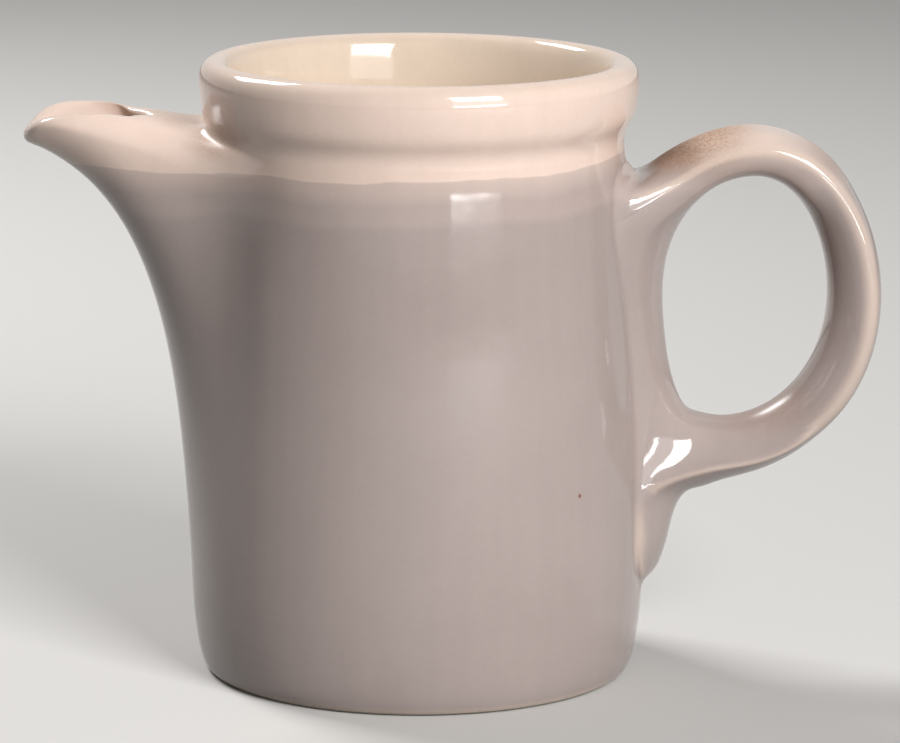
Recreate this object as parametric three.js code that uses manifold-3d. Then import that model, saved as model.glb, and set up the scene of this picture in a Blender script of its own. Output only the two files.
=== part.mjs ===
// A glazed stoneware creamer, made up from thrown and pulled clay pieces that are joined with slip.
// Millimetres, +Z up. The pot's axis is vertical, the handle points along +X and the spout along -X.
import * as THREE from "three";
import { mergeVertices } from "three/addons/utils/BufferGeometryUtils.js";
import Module from "manifold-3d";

const wasm = await Module();
wasm.setup();

// Driving dimensions of the pot.
const JUG_HEIGHT = 98.4;
const FOOT_RADIUS = 33.8;
const FOOT_RING_WIDTH = 5.5;
const FOOT_RING_HEIGHT = 2;
const BELLY_RADIUS = 36.5;
const BELLY_HEIGHT = 20;
const NECK_RADIUS = 32.5;
const WALL = 3.6;
const FLOOR = 4;
const FLOOR_CORNER = 9;
const COLLAR_HEIGHT = 11.9;
const COLLAR_RADIUS = 35;
const COLLAR_TAPER = 0.7;
const COLLAR_TUCK = 4.5;
const LIP_THICKNESS = 5.5;
const LIP_ROUND = 3.2;

// Driving dimensions of the spout, measured from the pot's axis, the lip's crest and the foot.
const SPOUT_REACH = 62.3;
const SPOUT_DROP = 8;
const SPOUT_NOSE = 3.8;
const SPOUT_ROLL = 5.3;
const SPOUT_FALL = 1.5;
const SPOUT_HALF_WIDTH = 9.6;
const SPOUT_ROOT_HALF_WIDTH = 23;
const SPOUT_WALL = 2.6;
const SPOUT_OPENING = 16;
const KEEL_HEIGHT = 17;

// Driving dimensions of the handle.
const STRAP_WIDTH = 18;
const STRAP_THICKNESS = 7.2;
const STRAP_EDGE = 2.6;
const HANDLE_DROP = 11.2;
const HANDLE_BACK = 4.2;
const FINGER_GAP = 27.3;
const FINGER_HEIGHT = 40.3;
const ROOT_THICKNESS = 8;
const TAIL_LENGTH = 17.5;
const TAIL_PROUD = 4;

// Joints: the layer of slip, and the clearance that curved neighbours keep.
const SLIP = 0.5;
const CLEARANCE = 0.3;

// Counts that set how finely the round forms are cut.
const ROUND = 48;
const CURVE_STEPS = 8;
const KEEL_STEPS = 14;
const NOSE_STEPS = 10;
const EDGE_STEPS = 3;
const HALVINGS = 40;
const WELD = 1e-4;

const neckHeight = JUG_HEIGHT - COLLAR_HEIGHT;

function bezier(...points) {
  const [a, b, c, d] = points.map(([x, y]) => new THREE.Vector2(x, y));
  return d ? new THREE.CubicBezierCurve(a, b, c, d) : new THREE.QuadraticBezierCurve(a, b, c);
}

// The outside of the pot in radius and height: foot, belly, neck and collar, up to the rolled lip.
const FOOT_BULGE = 0.15;
const FOOT_FULLNESS = 0.11;
const BELLY_STIFFNESS = 0.2;
const TUCK_FULLNESS = 1 / 3;
const footCurve = bezier(
  [FOOT_RADIUS, 0],
  [BELLY_RADIUS - FOOT_BULGE, BELLY_HEIGHT * FOOT_FULLNESS],
  [BELLY_RADIUS, BELLY_HEIGHT],
);
const wallCurve = bezier(
  [BELLY_RADIUS, BELLY_HEIGHT],
  [BELLY_RADIUS, BELLY_HEIGHT + (neckHeight - BELLY_HEIGHT) * BELLY_STIFFNESS],
  [NECK_RADIUS, neckHeight],
);
const collarFoot = COLLAR_RADIUS - COLLAR_TAPER;
const lipHeight = JUG_HEIGHT - LIP_ROUND;
const tuckCurve = bezier(
  [NECK_RADIUS, neckHeight],
  [collarFoot, neckHeight + COLLAR_TUCK * TUCK_FULLNESS],
  [collarFoot, neckHeight + COLLAR_TUCK],
);
const lipCentre = COLLAR_RADIUS - LIP_THICKNESS / 2;
const lipCurve = new THREE.EllipseCurve(lipCentre, lipHeight, LIP_THICKNESS / 2, LIP_ROUND, 0, Math.PI);

// Radius of a curve at a height, found by halving, on a curve that only rises.
function radiusOn(curve, height) {
  let [low, high] = [0, 1];
  for (let i = 0; i < HALVINGS; i++) {
    const middle = (low + high) / 2;
    if (curve.getPoint(middle).y < height) low = middle;
    else high = middle;
  }
  return curve.getPoint(low).x;
}

function outerRadius(height) {
  if (height < BELLY_HEIGHT) return radiusOn(footCurve, height);
  if (height < neckHeight) return radiusOn(wallCurve, height);
  if (height < neckHeight + COLLAR_TUCK) return radiusOn(tuckCurve, height);
  return COLLAR_RADIUS;
}

// Solids: a geometry becomes a closed solid that can be cut, and a solid becomes a named mesh.
function solid(geometry) {
  for (const name of ["normal", "uv"]) geometry.deleteAttribute(name);
  const merged = mergeVertices(geometry, WELD);
  const vertProperties = merged.attributes.position.array;
  const faces = [];
  const corners = merged.index.array;
  for (let i = 0; i < corners.length; i += 3) {
    const face = corners.slice(i, i + 3);
    if (new Set(face).size === 3) faces.push(...face);
  }
  const triVerts = new Uint32Array(faces);
  return new wasm.Manifold(new wasm.Mesh({ numProp: 3, vertProperties, triVerts }));
}

function turned(points) {
  const profile = points.map(([x, y]) => new THREE.Vector2(x, y));
  return solid(new THREE.LatheGeometry(profile, ROUND).rotateX(Math.PI / 2));
}

// A shape drawn in X and Z, spread evenly to both sides of Y = 0.
function spread(shape, width, edge) {
  const geometry = new THREE.ExtrudeGeometry(shape, {
    depth: width - 2 * edge,
    bevelEnabled: edge > 0,
    bevelThickness: edge,
    bevelSize: edge,
    bevelOffset: -edge,
    bevelSegments: EDGE_STEPS,
    curveSegments: CURVE_STEPS,
  });
  return solid(geometry.rotateX(Math.PI / 2).translate(0, width / 2 - edge, 0));
}

const pot = new THREE.Group();

function piece(name, made, color, roughness) {
  const cut = made.getMesh();
  const geometry = new THREE.BufferGeometry();
  geometry.setAttribute("position", new THREE.BufferAttribute(cut.vertProperties, cut.numProp));
  geometry.setIndex(new THREE.BufferAttribute(cut.triVerts, 1));
  const material = new THREE.MeshStandardMaterial({ color, roughness, metalness: 0 });
  const mesh = new THREE.Mesh(geometry, material);
  mesh.name = name;
  pot.add(mesh);
}

const pair = (p) => [p.x, p.y];
const closed = (points) => [...points, points[0]];

// The full outside of the pot, grown by a distance, which the spout and the handle are cut to fit.
function potSolid(grown) {
  const outline = [
    ...footCurve.getPoints(CURVE_STEPS),
    ...wallCurve.getPoints(CURVE_STEPS).slice(1),
    ...tuckCurve.getPoints(CURVE_STEPS).slice(1),
  ].map((p) => [p.x + grown, p.y]);
  const top = [COLLAR_RADIUS + grown, JUG_HEIGHT];
  return turned([[0, 0], ...outline, top, [0, JUG_HEIGHT]]);
}

// The spout is a stack of level sections. Each is the pot's round wall drawn out towards the beak's
// plan, as far as the keel stands out at that height, and reaches back inside the pot at its root.
const NOSE_LEAD = 1.6;
const NOSE_SQUARE = 4;
const ROOT_FLARE = 5;
const ROOT_DEPTH = 1.5;
const rimHeight = JUG_HEIGHT - SPOUT_DROP;
const tipHeight = rimHeight - SPOUT_NOSE;
const rollStart = SPOUT_REACH - SPOUT_ROLL;
const backInside = NECK_RADIUS / 2;
const clearWidth = 2 * COLLAR_RADIUS;

function spoutSection(reach, height, inset) {
  const wall = outerRadius(Math.min(height, neckHeight)) - inset;
  const neck = NECK_RADIUS - inset;
  const nose = SPOUT_HALF_WIDTH - inset;
  const rootHalf = SPOUT_ROOT_HALF_WIDTH - inset;
  const root = Math.sqrt(neck ** 2 - rootHalf ** 2);
  const beak = SPOUT_REACH - inset - root;
  const drawn = (reach - wall) / (SPOUT_REACH - inset - neck);
  const side = [];
  for (let i = 0; i <= NOSE_STEPS; i++) {
    const share = i / NOSE_STEPS;
    const angle = Math.asin(rootHalf / neck) * (1 - share);
    const out = Math.sin((Math.PI / 2) * share) ** NOSE_LEAD;
    const half = Math.sqrt(1 - out ** NOSE_SQUARE) * nose + (1 - out) ** ROOT_FLARE * (rootHalf - nose);
    const along = new THREE.Vector2(Math.cos(angle), Math.sin(angle));
    const plan = new THREE.Vector2(root + beak * out, half).addScaledVector(along, -neck);
    const seat = wall - ROOT_DEPTH * (1 - out) ** 2;
    side.push(along.multiplyScalar(seat).addScaledVector(plan, drawn));
  }
  const far = side.slice(0, -1).map((p) => [p.x, -p.y]);
  return [[backInside, side[0].y], ...side.map(pair), ...far.reverse(), [backInside, -side[0].y]];
}

// Joins level sections of equal count into a closed solid on the spout's side, capped at both ends.
function stack(levels) {
  const count = levels[0].section.length;
  const position = levels.flatMap(({ section, height }) => section.flatMap(([x, y]) => [-x, y, height]));
  const index = [];
  for (let rung = 0; rung + 1 < levels.length; rung++) {
    for (let i = 0; i < count; i++) {
      const a = rung * count + i;
      const b = rung * count + ((i + 1) % count);
      index.push(a, b, a + count, b, b + count, a + count);
    }
  }
  const cap = (rung) => {
    const flat = levels[rung].section.map(([x, y]) => new THREE.Vector2(x, y));
    return THREE.ShapeUtils.triangulateShape(flat, []).map((face) => face.map((i) => i + rung * count));
  };
  for (const [a, b, c] of cap(0)) index.push(a, b, c);
  for (const [a, b, c] of cap(levels.length - 1)) index.push(a, c, b);
  const geometry = new THREE.BufferGeometry();
  geometry.setAttribute("position", new THREE.Float32BufferAttribute(position, 3));
  geometry.setIndex(index);
  return solid(geometry);
}

// The keel leaves the wall low on the belly and sweeps out to the tip, where the nose rolls up to the rim.
const KEEL_PULL = 0.52;
const KEEL_LEAN = 2;
const TIP_PULL = 0.72;
const TIP_DIVE = 0.135;
const keelStart = outerRadius(KEEL_HEIGHT);
const keelRise = tipHeight - KEEL_HEIGHT;
const keelCurve = bezier(
  [keelStart, KEEL_HEIGHT],
  [keelStart + KEEL_LEAN, KEEL_HEIGHT + keelRise * KEEL_PULL],
  [SPOUT_REACH - (SPOUT_REACH - keelStart) * TIP_PULL, tipHeight - keelRise * TIP_DIVE],
  [SPOUT_REACH, tipHeight],
);
const noseCurve = new THREE.EllipseCurve(rollStart, tipHeight, SPOUT_ROLL, SPOUT_NOSE, 0, Math.PI / 2);
const level = ({ x, y }, inset) => ({ section: spoutSection(x, y, inset), height: y });
const outside = [...keelCurve.getPoints(KEEL_STEPS), ...noseCurve.getPoints(CURVE_STEPS / 2).slice(1)];
const closedTop = rimHeight - SPOUT_FALL;
const spoutTop = new THREE.Shape()
  .moveTo(-rollStart, rimHeight)
  .lineTo(-COLLAR_RADIUS, closedTop)
  .lineTo(0, closedTop)
  .lineTo(0, JUG_HEIGHT)
  .lineTo(-rollStart, JUG_HEIGHT);
const beak = stack(outside.map((p) => level(p, 0))).subtract(spread(spoutTop, clearWidth, 0));

// The channel follows the keel inside its clay, which thins from the wall's thickness to the spout's. It
// runs under a closed roof near the collar, and opens upwards behind the tip with a rounded back.
const inside = [];
for (let i = 0; i <= KEEL_STEPS; i++) {
  const share = i / KEEL_STEPS;
  const thick = THREE.MathUtils.lerp(WALL, SPOUT_WALL, share);
  const inward = keelCurve.getTangent(share).rotateAround(new THREE.Vector2(), Math.PI / 2);
  inside.push(level(keelCurve.getPoint(share).addScaledVector(inward, thick), thick));
}
const innerTip = SPOUT_REACH - SPOUT_WALL;
const throat = stack([...inside, level(new THREE.Vector2(innerTip, JUG_HEIGHT), SPOUT_WALL)]);
const roof = new THREE.Shape()
  .moveTo(0, 0)
  .lineTo(0, closedTop - SPOUT_WALL)
  .lineTo(-SPOUT_REACH, closedTop - SPOUT_WALL)
  .lineTo(-SPOUT_REACH, 0);
const openingHalf = SPOUT_OPENING / 2;
const openingMiddle = innerTip - openingHalf;
const openingRound = new THREE.EllipseCurve(openingMiddle, 0, openingHalf + SPOUT_WALL, openingHalf);
const openingSection = openingRound.getPoints(CURVE_STEPS * 2).slice(1).map(pair).reverse();
const shaft = stack([BELLY_HEIGHT, JUG_HEIGHT].map((height) => ({ section: openingSection, height })));
const spoutHollow = throat.intersect(spread(roof, clearWidth, 0).add(shaft));

const layer = (form) => form.intersect(potSolid(CLEARANCE + SLIP)).subtract(potSolid(CLEARANCE));
const seated = (form) => form.subtract(potSolid(2 * CLEARANCE + SLIP));

// The handle is a loop drawn from the side: an egg-shaped finger hole, the strap around it, its back
// strip on the wall and the tail below. Seen from behind, the tail narrows to a tongue.
const CROWN_SHARE = 0.9;
const CROWN_PLACE = 0.54;
const SOLE_PLACE = 0.36;
const ROUNDNESS = 0.56;
const strapTop = JUG_HEIGHT - HANDLE_DROP;
const holeTop = strapTop - STRAP_THICKNESS * CROWN_SHARE;
const holeBottom = holeTop - FINGER_HEIGHT;
const holeMiddle = holeBottom + FINGER_HEIGHT / 2;
const holeBack = outerRadius(holeMiddle) + HANDLE_BACK;
const holeFront = holeBack + FINGER_GAP;
const holeCrown = holeBack + FINGER_GAP * CROWN_PLACE;
const holeSole = holeBack + FINGER_GAP * SOLE_PLACE;
const strapFront = holeFront + STRAP_THICKNESS;
const strapSole = holeBottom - ROOT_THICKNESS;
const saddle = strapTop - STRAP_THICKNESS;
const saddleFace = outerRadius(saddle);
const tailTip = strapSole - TAIL_LENGTH;
const tailMiddle = strapSole - TAIL_LENGTH / 2;
const tailFace = outerRadius(tailMiddle) + TAIL_PROUD;
const tailHalf = STRAP_WIDTH / 2 + CLEARANCE;
const buried = NECK_RADIUS - WALL;

// Rounds a quarter of a loop from one point to the next, level or upright at each end.
function quarter(path, [x0, y0], [x1, y1], uprightFirst) {
  const [dx, dy] = [(x1 - x0) * ROUNDNESS, (y1 - y0) * ROUNDNESS];
  if (uprightFirst) path.bezierCurveTo(x0, y0 + dy, x1 - dx, y1, x1, y1);
  else path.bezierCurveTo(x0 + dx, y0, x1, y1 - dy, x1, y1);
}

const hole = new THREE.Path().moveTo(holeBack, holeMiddle);
quarter(hole, [holeBack, holeMiddle], [holeSole, holeBottom], true);
quarter(hole, [holeSole, holeBottom], [holeFront, holeMiddle], false);
quarter(hole, [holeFront, holeMiddle], [holeCrown, holeTop], true);
quarter(hole, [holeCrown, holeTop], [holeBack, holeMiddle], false);

const strap = new THREE.Shape().moveTo(buried, saddle).lineTo(saddleFace, saddle);
strap.quadraticCurveTo((saddleFace + holeCrown) / 2, strapTop, holeCrown, strapTop);
quarter(strap, [holeCrown, strapTop], [strapFront, holeMiddle], false);
quarter(strap, [strapFront, holeMiddle], [holeSole, strapSole], true);
strap.quadraticCurveTo(tailFace, strapSole, tailFace, tailMiddle);
strap.quadraticCurveTo(tailFace, tailTip, saddleFace, tailTip).lineTo(buried, tailTip);
strap.holes.push(hole);

const tongue = new THREE.Shape()
  .moveTo(STRAP_WIDTH, JUG_HEIGHT)
  .lineTo(-STRAP_WIDTH, JUG_HEIGHT)
  .lineTo(-tailHalf, strapSole)
  .lineTo(-tailHalf, tailMiddle)
  .bezierCurveTo(-tailHalf, tailTip, -tailHalf / 2, tailTip, 0, tailTip)
  .bezierCurveTo(tailHalf / 2, tailTip, tailHalf, tailTip, tailHalf, tailMiddle)
  .lineTo(tailHalf, strapSole)
  .closePath();
const tongueSides = new THREE.ExtrudeGeometry(tongue, {
  depth: strapFront,
  bevelEnabled: false,
  curveSegments: CURVE_STEPS,
});
tongueSides.rotateX(Math.PI / 2).rotateZ(Math.PI / 2);
const loop = spread(strap, STRAP_WIDTH, STRAP_EDGE).intersect(solid(tongueSides));

// The thrown pieces are turned about the axis. The slip in their flat joints touches both faces.
const footInner = FOOT_RADIUS - FOOT_RING_WIDTH;
const ringFace = radiusOn(footCurve, FOOT_RING_HEIGHT);
const slipTop = FOOT_RING_HEIGHT + SLIP;
const floorTop = slipTop + FLOOR;
const shoulder = neckHeight - SLIP;
const neckInner = NECK_RADIUS - WALL;
const bellyInner = BELLY_RADIUS - WALL;

const footRing = turned(
  closed([
    [footInner, 0],
    ...footCurve.getPoints(CURVE_STEPS * 2).filter((p) => p.y < FOOT_RING_HEIGHT).map(pair),
    [ringFace, FOOT_RING_HEIGHT],
    [footInner, FOOT_RING_HEIGHT],
  ]),
);
const footSlip = turned(
  closed([
    [footInner, FOOT_RING_HEIGHT],
    [ringFace, FOOT_RING_HEIGHT],
    [radiusOn(footCurve, slipTop), slipTop],
    [footInner, slipTop],
  ]),
);
const outerWall = [...footCurve.getPoints(CURVE_STEPS), ...wallCurve.getPoints(CURVE_STEPS).slice(1)];
const innerWall = wallCurve.getPoints(CURVE_STEPS).filter((p) => p.y > floorTop + FLOOR_CORNER);
const floorCorner = bezier(
  [bellyInner, floorTop + FLOOR_CORNER],
  [bellyInner, floorTop],
  [bellyInner - FLOOR_CORNER, floorTop],
);
const wallAndFloor = turned([
  [0, slipTop],
  [radiusOn(footCurve, slipTop), slipTop],
  ...outerWall.filter((p) => p.y > slipTop && p.y < shoulder).map(pair),
  [radiusOn(wallCurve, shoulder), shoulder],
  [neckInner, shoulder],
  ...innerWall.reverse().filter((p) => p.y < shoulder).map((p) => [p.x - WALL, p.y]),
  ...floorCorner.getPoints(CURVE_STEPS / 2).map(pair),
  [0, floorTop],
]);
const collarSlip = turned(
  closed([
    [neckInner, shoulder],
    [radiusOn(wallCurve, shoulder), shoulder],
    [NECK_RADIUS, neckHeight],
    [neckInner, neckHeight],
  ]),
);
const collar = turned(
  closed([
    ...tuckCurve.getPoints(CURVE_STEPS).map(pair),
    ...lipCurve.getPoints(CURVE_STEPS * 2).map(pair),
    [neckInner, neckHeight],
  ]),
);

const FINISH = { grey: 0xa5968f, pink: 0xd9c4b8, slip: 0x9c8d84, clay: 0xcbb9a6 };
const GLOSSY = 0.2;
const MATT = 0.8;
piece("body", wallAndFloor.subtract(spoutHollow), FINISH.grey, GLOSSY);
piece("foot_ring", footRing, FINISH.clay, MATT);
piece("foot_slip", footSlip, FINISH.slip, MATT);
piece("rim_collar", collar, FINISH.pink, GLOSSY);
piece("collar_slip", collarSlip, FINISH.slip, MATT);
piece("spout", seated(beak).subtract(spoutHollow), FINISH.pink, GLOSSY);
piece("spout_slip", layer(beak).subtract(spoutHollow), FINISH.slip, MATT);
piece("handle", seated(loop), FINISH.pink, GLOSSY);
piece("handle_slip", layer(loop), FINISH.slip, MATT);

// The part's origin is on the table under the middle of its whole length, from spout tip to handle.
pot.position.x = (SPOUT_REACH - strapFront) / 2;
const creamer = new THREE.Group().add(pot);

export default creamer;
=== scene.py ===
import math

import bmesh
import bpy
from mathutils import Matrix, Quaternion, Vector


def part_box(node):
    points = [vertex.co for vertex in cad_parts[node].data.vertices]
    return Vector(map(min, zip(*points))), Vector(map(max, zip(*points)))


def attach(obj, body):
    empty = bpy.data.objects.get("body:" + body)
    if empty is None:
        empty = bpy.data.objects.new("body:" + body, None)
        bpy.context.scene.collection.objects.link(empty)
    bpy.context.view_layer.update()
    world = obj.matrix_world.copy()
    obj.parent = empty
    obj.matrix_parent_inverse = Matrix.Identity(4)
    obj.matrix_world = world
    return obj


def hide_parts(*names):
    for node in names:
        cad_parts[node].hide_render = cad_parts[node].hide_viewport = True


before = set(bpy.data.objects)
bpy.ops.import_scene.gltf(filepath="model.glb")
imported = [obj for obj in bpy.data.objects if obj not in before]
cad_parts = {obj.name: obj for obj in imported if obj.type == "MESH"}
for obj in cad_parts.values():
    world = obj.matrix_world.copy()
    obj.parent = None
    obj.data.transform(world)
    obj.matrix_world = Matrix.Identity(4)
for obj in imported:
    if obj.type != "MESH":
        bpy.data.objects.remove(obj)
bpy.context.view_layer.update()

# Thrown pot: a stoneware wall and floor turned on the wheel, with a foot ring below and a rolled collar
# above a groove. Its profile is drawn once, from under the floor over the lip and down the inside, and
# spun about the axis. Sizes here and below are in millimetres from the pot's axis and the table.
MM = 0.001
collar_low, collar_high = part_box("rim_collar")
AXIS_X = (collar_low[0] + collar_high[0]) / 2 / MM
COLUMNS = 64
COLUMN = 2 * math.pi / COLUMNS
FOOT_RADIUS, FOOT_INNER, FOOT_HEIGHT = 33.8, 27.3, 1.6
FOOT_PULL, FOOT_CORNER = 4.4, 0.15
BELLY_RADIUS, BELLY_HEIGHT = 36.5, 20
NECK_RADIUS, NECK_HEIGHT = 32.5, 86.5
TAPER_PULL = 0.4
WALL = 3.6
FLOOR_HEIGHT = 5
LIP_CREST = 32
TOP_ROW, RIM_ROW, GROOVE_ROW, SEAT_ROW = 81.7, 82.5, 84.6, 88.4
WELD = 0.01
PIECES = ["body", "foot_ring", "rim_collar", "spout", "handle"]


def curve_share(pull, end, value):
    """Share of a quadratic curve's way at which it reaches a value, from its pull at the start."""
    bow = end - pull
    return (math.sqrt(pull**2 + 4 * bow * value) - pull) / (2 * bow)


def wall_radius(height):
    """Radius of the outside: a full curve at the foot, then a slow taper to the neck."""
    if height < BELLY_HEIGHT:
        along = curve_share(FOOT_PULL, BELLY_HEIGHT, height)
        corner = BELLY_RADIUS - FOOT_CORNER
        return (1 - along) ** 2 * FOOT_RADIUS + 2 * along * (1 - along) * corner + along**2 * BELLY_RADIUS
    taper = min((height - BELLY_HEIGHT) / (NECK_HEIGHT - BELLY_HEIGHT), 1)
    return BELLY_RADIUS - (BELLY_RADIUS - NECK_RADIUS) * curve_share(TAPER_PULL, 1, taper) ** 2


UNDERSIDE = [
    (0, 2.5), (14, 2.5), (24, 2.5), (27.2, 2.4), (28.2, 1.4), (28.5, 0.4), (29.4, 0), (31.5, 0), (33.3, 0),
]
OUTER_ROWS = [
    0.5, 1.5, 3, 5.5, 9, 12, 14.2, 15.6, 17, 21, 26, 31, 36, 42, 48, 54, 60, 66, 71, 75, 78, 80.5, TOP_ROW, RIM_ROW,
]
COLLAR = [
    (32.7, GROOVE_ROW), (32.6, 86), (32.75, 87.2), (33.25, SEAT_ROW), (34.4, 90), (34.8, 92.5), (35, 95),
    (34.85, 96.9), (34.05, 98.1), (32.5, 98.65), (30.9, 98.2), (30.2, 97), (29.75, 95), (29.1, 91.5),
    (28.8, 88), (28.9, GROOVE_ROW),
]
INNER_ROWS = [RIM_ROW, 80.5, 78, 75, 71, 66, 60, 54, 48, 42, 36, 31, 26, 21, 17]
FLOOR = [(32.5, 13), (31.3, 9.5), (28.5, 7.3), (24, 6.5), (14, 6.5), (0, 6.5)]
profile = UNDERSIDE + [(wall_radius(z), z) for z in OUTER_ROWS] + COLLAR
profile += [(wall_radius(z) - WALL, z) for z in INNER_ROWS] + FLOOR

bpy.ops.object.select_all(action="DESELECT")
bpy.ops.mesh.primitive_plane_add(size=MM)
jug = bpy.context.object
jug.name = "jug"
bpy.ops.object.mode_set(mode="EDIT")
bpy.ops.mesh.merge(type="CENTER")
shape = bmesh.from_edit_mesh(jug.data)
start = shape.verts[:][0]
start.co = (profile[0][0] * MM, 0, profile[0][1] * MM)
for (r0, z0), (r1, z1) in zip(profile, profile[1:]):
    step = ((r1 - r0) * MM, 0, (z1 - z0) * MM)
    bpy.ops.mesh.extrude_region_move(TRANSFORM_OT_translate={"value": step})
bpy.ops.mesh.select_all(action="SELECT")
bpy.ops.mesh.spin(steps=COLUMNS, angle=2 * math.pi, center=(0, 0, 0), axis=(0, 0, 1))
bpy.ops.mesh.select_all(action="SELECT")
bpy.ops.mesh.remove_doubles(threshold=WELD * MM)
bpy.ops.mesh.normals_make_consistent(inside=False)


def is_outside(radius, height):
    """Tells the outer side of the wall and collar from the inner side."""
    middle = wall_radius(min(height, NECK_HEIGHT)) - WALL / 2
    return radius > (LIP_CREST if height > NECK_HEIGHT else middle)


shape = bmesh.from_edit_mesh(jug.data)
inside = shape.verts.layers.float.new("inside")
for vertex in shape.verts:
    radius, height = vertex.co.xy.length / MM, vertex.co.z / MM
    vertex[inside] = 0 if height < FLOOR_HEIGHT or is_outside(radius, height) else 1
for face in shape.faces:
    middle = face.calc_center_median() / MM
    if middle.z > GROOVE_ROW:
        face.material_index = PIECES.index("rim_collar")
    elif middle.z < FOOT_HEIGHT and middle.xy.length > FOOT_INNER:
        face.material_index = PIECES.index("foot_ring")

# Spout: a hollow beak of clay on a long keel, luted to the wall, closed on top beside the collar and open
# behind its tip. The wall's rows are drawn out along the keel, a slot below the collar is opened and
# bridged through to the inside, and the shoulders beside the collar are smoothed with a finger.
SPOUT_SIDE = -1
ROOT_COLUMNS, OPEN_COLUMNS = 8, 4
TIP_REACH, TIP_HEIGHT = 63.0, 85.2
KEEL_FOOT = 17
KEEL_LEAN, KEEL_RISE, KEEL_BEND = 2, 53.2, (42.0, 77.7)
KEEL_HALVINGS = 20
KEEL_LIFT, LIFT_FOOT, LIFT_POWER = 4.1, 62, 1.5
FLANK_LIFT = [1, 1.2, 1.63, 1.68, 1.34, 0.88, 0.46, 0.15, 0]
NOSE_HALF, NOSE_TAPER, NOSE_SQUARE = 11, 1.6, 8
NOSE_ROW, NOSE_DROP = 81, [1.2, 0.9, 0.2]
ROOT_FLARE = 5
RIM_LINE = [
    (63.2, 0, 86.7), (62.3, 6.5, 87.1), (59.6, 10.0, 89.1), (54.4, 9.9, 89.9), (48.2, 6.2, 90.5),
    (41.5, 8.4, 88.6), (33.2, 13.2, 85.7), (26.6, 19.0, 83.6),
]
BACK_EDGE = [(41.6, 0, 89.8), (42.4, 1.1, 89.9), (43.6, 2.1, 90.1), (45.0, 3.0, 90.3), (46.4, 4.0, 90.5)]
SEAT_HEIGHTS = [88.3, 88.2, 88.0, 87.6, 87.1, 86.5, 85.9, 85.2]
SEAT_SLIDE = [0, 4.2, 8.4, 12.5, 16.5, 21.5, 28, 36]
SEAT_FOOT, SEAT_SLOPE, SEAT_START = 86, 0.6, 0.3
SHOULDER_BLEND = [1, 0.8, 0.4]
SHOULDER_FOOT, SHOULDER_COLUMN = 77, 2
SMOOTH_SHARE, SMOOTH_TIMES = 0.5, 3
LIP_RISE = [1.1, 1.9, 1.65, 1.1, 0.5]
TIP_INWARD, SIDE_INWARD, ROOT_INWARD = (-2.3, 0, 0), (-0.9, -2.6, 0), (-0.8, -1.6, -2.4)
LIP_SWELL, LIP_FOOT, LIP_RUN = 2.2, 74, 6.5
THIN_REACH = 15
ROOF_BLEND = [1, 1, 1, 1, 1, 0.8, 0.45, 0.15]
ROOF_BACK, ROOF_EASE, ROOF_THICKNESS = 2.4, 0.3, 2.3
INNER_SEAT, INNER_TURN, INNER_DROP = 31.5, 0.8, 2.4
POUR_REACH = 40
NEAR = 0.3
MARGIN = 0.1


def columns_away(x, y, side):
    """Columns of the wall between a point and the middle of the spout's or the handle's side."""
    return abs(math.atan2(y, side * x)) / COLUMN


def between(values, place):
    """Reads a list at a place between two of its entries."""
    low = min(int(place), len(values) - 2)
    return values[low] + (values[low + 1] - values[low]) * (place - low)


def bezier(points, along):
    """Point on a curve with any number of control points, at a share of its way."""
    points = [Vector(point) for point in points]
    while len(points) > 1:
        points = [a.lerp(b, along) for a, b in zip(points, points[1:])]
    return points[0]


def around_axis(radius, angle, height):
    """Point at a radius, angle and height."""
    return Vector((radius * math.cos(angle), radius * math.sin(angle), height))


def keel_reach(height):
    """How far the keel stands from the axis at a height, along a curve from the belly to the tip."""
    foot = wall_radius(KEEL_FOOT)
    keel = [(foot, KEEL_FOOT), (foot + KEEL_LEAN, KEEL_RISE), KEEL_BEND, (TIP_REACH, TIP_HEIGHT)]
    low, high = 0.0, 1.0
    for _ in range(KEEL_HALVINGS):
        along = (low + high) / 2
        low, high = (along, high) if bezier(keel, along).y < height else (low, along)
    return bezier(keel, along).x


def beak_point(height, column):
    """Place on the outside of the spout of the wall's point at a height, some columns from the keel."""
    if height == RIM_ROW:
        return Vector(RIM_LINE[column])
    rim = wall_radius(RIM_ROW)
    angle = column * COLUMN
    out = math.cos(math.pi / 2 * column / ROOT_COLUMNS) ** NOSE_TAPER
    root = rim * math.cos(ROOT_COLUMNS * COLUMN)
    root_half = rim * math.sin(ROOT_COLUMNS * COLUMN)
    nose = Vector((root + (TIP_REACH - root) * out, 0))
    nose.y = NOSE_HALF * math.sqrt(1 - out**NOSE_SQUARE) + (root_half - NOSE_HALF) * (1 - out) ** ROOT_FLARE
    wall = Vector((math.cos(angle), math.sin(angle)))
    risen = max(0, (min(height, TOP_ROW) - LIFT_FOOT) / (TOP_ROW - LIFT_FOOT))
    lift = KEEL_LIFT * risen**LIFT_POWER
    proud = keel_reach(min(height + lift, TIP_HEIGHT)) - wall_radius(height)
    drawn = wall * wall_radius(height) + (nose - wall * rim) * proud / (TIP_REACH - rim)
    drop = between(NOSE_DROP, column) if height > NOSE_ROW and column < len(NOSE_DROP) - 1 else 0
    return Vector((drawn.x, drawn.y, height + lift * between(FLANK_LIFT, column) - drop))


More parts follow.
